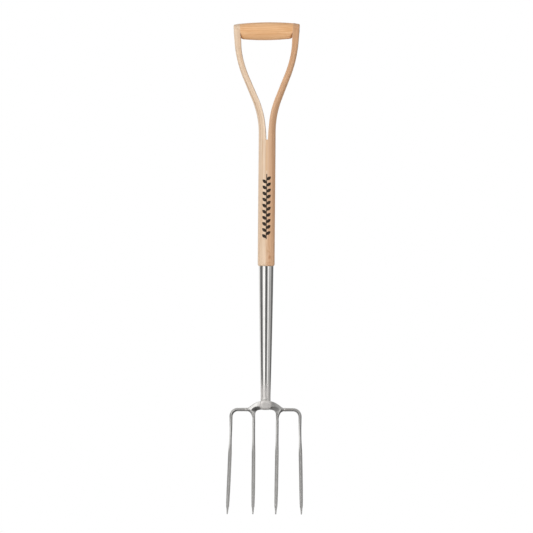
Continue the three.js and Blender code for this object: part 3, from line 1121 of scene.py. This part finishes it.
def sprig_mask(place):
    """A burned-in sprig on the front of the shaft: a stem with leaves to either side in turn."""
    pitch = 13.6 * MM
    leaves = 10
    leaf_length = 12.6 * MM
    lean = math.radians(42)
    foot = up(614)
    x, y, z = split(place)
    from_stem = x - 0.3 * MM
    aside = abs(from_stem)
    # The right-hand leaves start half a pitch above the left-hand ones.
    climb = z - foot + (from_stem > 0) * (-pitch / 2)
    whole = (climb > 0) * (climb < leaves * pitch)
    rise = (climb / pitch).op("FRACT") * pitch - 2.6 * MM
    along = (aside * math.cos(lean) + rise * math.sin(lean)) / leaf_length
    across = rise * math.cos(lean) - aside * math.sin(lean)
    # The leaf's half width: a rounded heel that draws out to a point.
    half = along * (1.0 - along) * (15 * MM)
    leaf = ((half - abs(across)) / (0.25 * MM)).clamped() * whole
    stem = ((1.1 * MM - aside) / (0.2 * MM)).clamped()
    limit = (z > foot) * (z < up(760)) * (y < -2 * MM)
    return leaf.op("MAXIMUM", stem) * limit


def nearness(place, spot, reach):
    """1 at a spot, falling to 0 past a reach given for each axis."""
    distance = ((place - spot) / reach).op("LENGTH")
    return (distance * distance * -1.0).op("EXPONENT")


def ash_wood(name, pale, brown, pith, marked=False):
    """Ash: growth rings about a pith beside the piece, open pores in rows, long fine fibres.

    pale and brown each hold the colour of early wood and of late wood. The wood is pale towards the left
    of the piece and turns brown towards its right where the two differ: partly the wood's own heartwood
    colour, partly painted light on the left and painted shade on the right. marked adds the shaft's knot
    and its sprig.
    """
    material, tree = new_material(name)
    grain = given(tree, "ShaderNodeAttribute", "Vector", vector=True, attribute_name="grain")
    drift = noise(grain * (22, 22, 3.2), 1, 2, output="Color") - (0.5, 0.5, 0.5)
    bent = grain + drift * (0.008, 0.008, 0)
    # The pith leans a little, so that the rings run out at the surface as long arches.
    x, y, z = split(bent - (*pith, 0))
    from_pith = {"X": x + z * 0.022, "Y": y, "Z": 0.0}
    radius = given(tree, "ShaderNodeCombineXYZ", 0, from_pith, vector=True).op("LENGTH")
    if marked:
        radius = radius + nearness(grain, KNOT, (6 * MM, 20 * MM, 15 * MM)) * (8 * MM)
    ring = (radius / (3.4 * MM)).op("FRACT")
    early = ramp(ring, [(0.0, 1.0), (0.2, 0.62), (0.45, 0.18), (0.86, 0.04), (1.0, 1.0)])
    fibre = noise(grain * (1900, 1900, 26), 1, 3, 0.6)
    streak = noise(grain * (360, 360, 3.5), 1, 4, 0.68)
    broad = noise(grain * (26, 26, 4), 1, 2)
    cells = {"Vector": grain * (1700, 1700, 60), "Scale": 1.0}
    pore = (1.0 - given(tree, "ShaderNodeTexVoronoi", "Distance", cells) / 0.3).clamped()
    pore = pore * (early + 0.12).clamped()

    depth = (early * 0.42 + (broad - 0.45) * 0.8 + (streak - 0.5) * 2.2 + 0.2).clamped()
    # Painted light: pale on the left turning brown on the right, partly heartwood colour, partly painted
    # light from the left and painted shade on the right.
    heart_and_side_light = ((split(bent)[0] + 4 * MM) / (11 * MM)).clamped()
    light = blend_colours(tree, "MIX", heart_and_side_light, pale[0], brown[0])
    dark = blend_colours(tree, "MIX", heart_and_side_light, pale[1], brown[1])
    colour = blend_colours(tree, "MIX", depth, light, dark)
    colour = blend_colours(tree, "MULTIPLY", 1.0, colour, ramp(fibre, [(0.25, 0.9), (0.75, 1.06)]))
    colour = blend_colours(tree, "MIX", pore * 0.22, colour, srgb(120, 78, 44))
    relief = fibre * 0.25 - pore
    rough = pore * 0.25 + 0.42 + streak * 0.1
    if marked:
        stain = nearness(grain, KNOT, (2.2 * MM, 20 * MM, 4 * MM)) * 0.6
        colour = blend_colours(tree, "MIX", stain, colour, srgb(150, 98, 58))
        mark = sprig_mask(grain)
        scorch = noise(grain * (700, 700, 300), 1, 2)
        strength = (mark * (scorch * 0.4 + 0.78)).op("MINIMUM", 0.985)
        colour = blend_colours(tree, "MIX", strength, colour, srgb(24, 14, 10))
        relief = relief - mark * 1.5
        rough = rough + mark * 0.35
    look = {"Base Color": colour, "Roughness": rough, "Normal": bump(relief, 0.35, 0.12 * MM)}
    surface(tree, {**look, "Specular IOR Level": 0.45, "Coat Weight": 0.1, "Coat Roughness": 0.4})
    return material


def steel(name, colour, roughness, lines, lines_depth, dents=0.0, satin=None, matt=0.0):
    """Stainless steel: a base tone, polishing lines drawn out along `lines`, and shallow dents.

    satin makes, from the place on the piece and a smear, the share of ground satin finish there.
    matt is the share of dull scale in the surface away from the satin.
    """
    material, tree = new_material(name)
    place = given(tree, "ShaderNodeTexCoord", "Object", vector=True)
    line = noise(place * lines, 1, 4, 0.6)
    cloud = noise(place, 55, 3, 0.55)
    smear = noise(place * (160, 160, 12), 1, 2)
    rough = line * 0.07 + (roughness - 0.06) + cloud * 0.06
    tone = ramp((cloud + smear) * 0.5, [(0.3, 0.9), (0.7, 1.05)])
    base = blend_colours(tree, "MULTIPLY", 1.0, colour, tone)
    relief = line * lines_depth
    metal = 1.0 - matt
    if dents:
        relief = relief + noise(place, 170, 1, 0.4) * dents
    if satin:
        share = satin(place, smear - 0.5)
        rough = rough + share * 0.3
        base = blend_colours(tree, "MIX", share, base, (0.8, 0.77, 0.745, 1))
        metal = metal - share * (0.2 - matt)
        relief = relief + noise(place, 1500, 2, 0.6) * share * 0.02
    normal = bump(relief, 1.0, 1 * MM)
    surface(tree, {"Base Color": base, "Metallic": metal, "Roughness": rough, "Normal": normal})
    return material


def satin_at_foot(place, smear):
    """The lower end of the socket, dulled where the weld was ground."""
    rise = split(place)[2] - (SOCKET_FOOT + 14 * MM)
    return 1.0 - ((rise + smear * (14 * MM)) / (34 * MM)).clamped()


def satin_on_boss(place, smear):
    """The boss, ground flat and dull, with the edges of the grinding fading into the yoke."""
    offset = (place - (0, 0, up(243.5))) / (14.2 * MM, 400 * MM, 12.5 * MM)
    reach = offset.op("LENGTH") + smear * 0.2
    return ((1.12 - reach) / 0.2).clamped()


# ---- studio ----


def camera():
    """A long lens level with the middle of the tool, turned a little to its right."""
    away = 14.0
    turn = math.radians(1.8)
    roll = math.radians(0.25)
    view_height = 1.1943
    middle = Vector((0.8 * MM, 0, up(552.8)))
    data = bpy.data.cameras.new("camera")
    data.sensor_width = 36
    data.lens = 36 * away / view_height
    data.clip_end = 100
    made = bpy.data.objects.new("camera", data)
    bpy.context.scene.collection.objects.link(made)
    made.location = middle + Vector((math.sin(turn), -math.cos(turn), 0)) * away
    upright = Matrix.Rotation(turn, 4, "Z") @ Matrix.Rotation(math.pi / 2, 4, "X")
    made.rotation_euler = (upright @ Matrix.Rotation(roll, 4, "Z")).to_euler()
    bpy.context.scene.camera = made


# Brightness by the bearing in degrees: 0 is straight ahead of the tool, and positive is to its right.
PANELS_AROUND = [
    *((-180, 0.5), (-140, 0.7), (-114, 0.8), (-105, 0.1), (-92, 0.08), (-78, 0.12), (-60, 0.25)),
    *((-48, 0.7), (-41, 1.15), (-22, 1.15), (-14, 0.6), (-6, 0.14), (2, 0.06), (12, 0.06)),
    *((20, 0.25), (28, 0.5), (37, 0.95), (46, 0.95), (56, 0.35), (66, 0.32), (78, 0.5), (86, 0.45)),
    *((97, 0.16), (112, 0.12), (150, 0.14), (180, 0.5)),
]
PANELS_OVERHEAD = [
    *((-180, 0.34), (-140, 0.1), (-108, 0.12), (-84, 1.05), (-30, 1.0), (-5, 0.3), (20, 0.15)),
    *((60, 0.3), (150, 0.34), (180, 0.34)),
]
PANELS_BENEATH = [
    *((-180, 0.2), (-110, 0.2), (-40, 0.16), (0, 0.08), (40, 0.02), (120, 0.02), (155, 0.2)),
    (180, 0.2),
]


def studio_world():
    """A white backdrop for the camera, and a studio of panels for light and reflections."""
    world = bpy.data.worlds.new("studio")
    bpy.context.scene.world = world
    world.use_nodes = True
    tree = world.node_tree
    tree.nodes.clear()
    x, y, z = split(given(tree, "ShaderNodeTexCoord", "Generated", vector=True))
    bearing = x.op("ARCTAN2", y * -1.0) / (2 * math.pi) + 0.5
    height = z * 0.5 + 0.5

    def by_bearing(panels):
        return ramp(bearing, [(degrees / 360 + 0.5, value) for degrees, value in panels])

    # Overhead the panels merge into one soft ceiling, and below the tool they are dim.
    ceiling = ramp(height, [(0.6, 0.0), (0.74, 1.0)])
    beneath = ramp(height, [(0.3, 1.0), (0.46, 0.0)])
    above = blend_colours(tree, "MIX", ceiling, by_bearing(PANELS_AROUND), by_bearing(PANELS_OVERHEAD))
    panels = blend_colours(tree, "MIX", beneath, above, by_bearing(PANELS_BENEATH))
    studio = given(tree, "ShaderNodeBackground", 0, {"Color": panels, "Strength": 1.45})
    white = given(tree, "ShaderNodeBackground", 0, {"Color": (1, 1, 1, 1), "Strength": 1.0})
    seen = given(tree, "ShaderNodeLightPath", "Is Camera Ray")
    both = given(tree, "ShaderNodeMixShader", 0, {0: seen, 1: studio, 2: white})
    node(tree, "ShaderNodeOutputWorld", {"Surface": both})


def floor():
    """A plain pale floor under the hanging tool."""
    half = 2.2
    corners = ((-half, -half), (half, -half), (half, half), (-half, half))
    bm = bmesh.new()
    bm.faces.new([bm.verts.new((x, y, up(-300))) for x, y in corners])
    made = object_from(bm, "floor")
    material, tree = new_material("pale_floor")
    surface(tree, {"Base Color": (0.86, 0.86, 0.85, 1), "Roughness": 0.9})
    made.data.materials.append(material)
    made.visible_glossy = False


def softbox(name, place, target, width, height, power):
    data = bpy.data.lights.new(name, "AREA")
    data.shape = "RECTANGLE"
    data.size = width
    data.size_y = height
    data.energy = power
    made = bpy.data.objects.new(name, data)
    bpy.context.scene.collection.objects.link(made)
    made.location = place
    made.rotation_euler = (Vector(target) - Vector(place)).to_track_quat("-Z", "Y").to_euler()
    made.visible_glossy = False


def studio_lights():
    middle = Vector((0, 0, up(600)))
    softbox("key", middle + Vector((-2.4, -2.8, 0.3)), middle, 1.6, 2.0, 42)
    softbox("fill", middle + Vector((2.5, -2.8, 0.0)), middle, 2.0, 2.0, 43)
    softbox("bounce", middle + Vector((0.2, -2.6, -2.2)), middle, 2.0, 1.6, 25)
    softbox("top", middle + Vector((0, -0.6, 3.0)), middle, 1.6, 1.6, 1)


# ---- assembly ----

bpy.context.scene.view_settings.view_transform = "Standard"
camera()
studio_world()
studio_lights()
floor()

PITH = (14 * MM, 52 * MM)
KNOT = (9 * MM, -18 * MM, up(574))
# Shaft tones: the pale pair carries painted light on the shaft's left and the brown pair painted shade on
# its right, over the wood's sap and heart colours.
SAP_AND_LIT_LEFT = (srgb(226, 203, 178), srgb(206, 171, 138))
HEART_AND_SHADED_RIGHT = (srgb(216, 174, 138), srgb(186, 137, 95))
shaft_ash = ash_wood("ash_of_shaft", SAP_AND_LIT_LEFT, HEART_AND_SHADED_RIGHT, PITH, marked=True)
GRIP_TONES = (srgb(235, 189, 142), srgb(211, 154, 101))
grip_ash = ash_wood("ash_of_grip", GRIP_TONES, GRIP_TONES, (30 * MM, -44 * MM))
STRIP_TONES = (srgb(220, 186, 152), srgb(198, 156, 118))
strip_ash = ash_wood("ash_of_spline", STRIP_TONES, STRIP_TONES, (-60 * MM, 20 * MM))
tube_steel = steel(
    "polished_tube", (0.68, 0.67, 0.65, 1), 0.14, (900, 900, 9), 0.004, satin=satin_at_foot
)
forged = steel(
    "forged_steel",
    (0.7, 0.69, 0.67, 1),
    0.28,
    (500, 500, 12),
    0.003,
    dents=0.035,
    satin=satin_on_boss,
    matt=0.06,
)
ground = steel("ground_weld", (0.83, 0.81, 0.78, 1), 0.5, (500, 500, 500), 0.02, dents=0.06, matt=0.16)
rivets = steel("rivet_steel", (0.74, 0.73, 0.71, 1), 0.3, (800, 800, 800), 0.01, dents=0.03)

shaft = finish_surface(ash_shaft(), 35)
store_grain(shaft, unbend)
set_by_hand(shaft)
ride(shaft, "ash_shaft", material=shaft_ash)

strip = finish_surface(spline_strip(), 35)
store_grain(strip, Vector)
set_by_hand(strip)
ride(strip, "crotch_spline", material=strip_ash)

barrel = finish_surface(grip_barrel(), 35)
store_grain(barrel, lambda p: Vector((p.y, p.z, p.x)))
set_by_hand(barrel)
ride(barrel, "grip", material=grip_ash)

ride(set_by_hand(finish_surface(rivet_pin())), "grip_pin", material=rivets)
ride(finish_surface(socket_tube(), 35), "socket", material=tube_steel)
for place in ("upper", "lower"):
    rivet = finish_surface(socket_rivet(place))
    ride(rivet, "socket_rivet_" + place, material=rivets)
ride(finish_surface(head_yoke(), 60, weighted=False), "head_yoke", material=forged)
ride(finish_surface(neck_weld(), 60), "neck_weld", material=ground)
for hand, side in (("left", -1), ("right", 1)):
    ring = set_by_hand(finish_surface(washer(hand, side)))
    ride(ring, "pin_washer_" + hand, material=rivets)
    tine = finish_surface(outer_tine(hand, side), 60)
    ride(tine, "outer_tine_" + hand, material=forged)
    bead = finish_surface(shoulder_weld(hand, side), 60, weighted=False)
    ride(bead, "shoulder_weld_" + hand, material=ground)
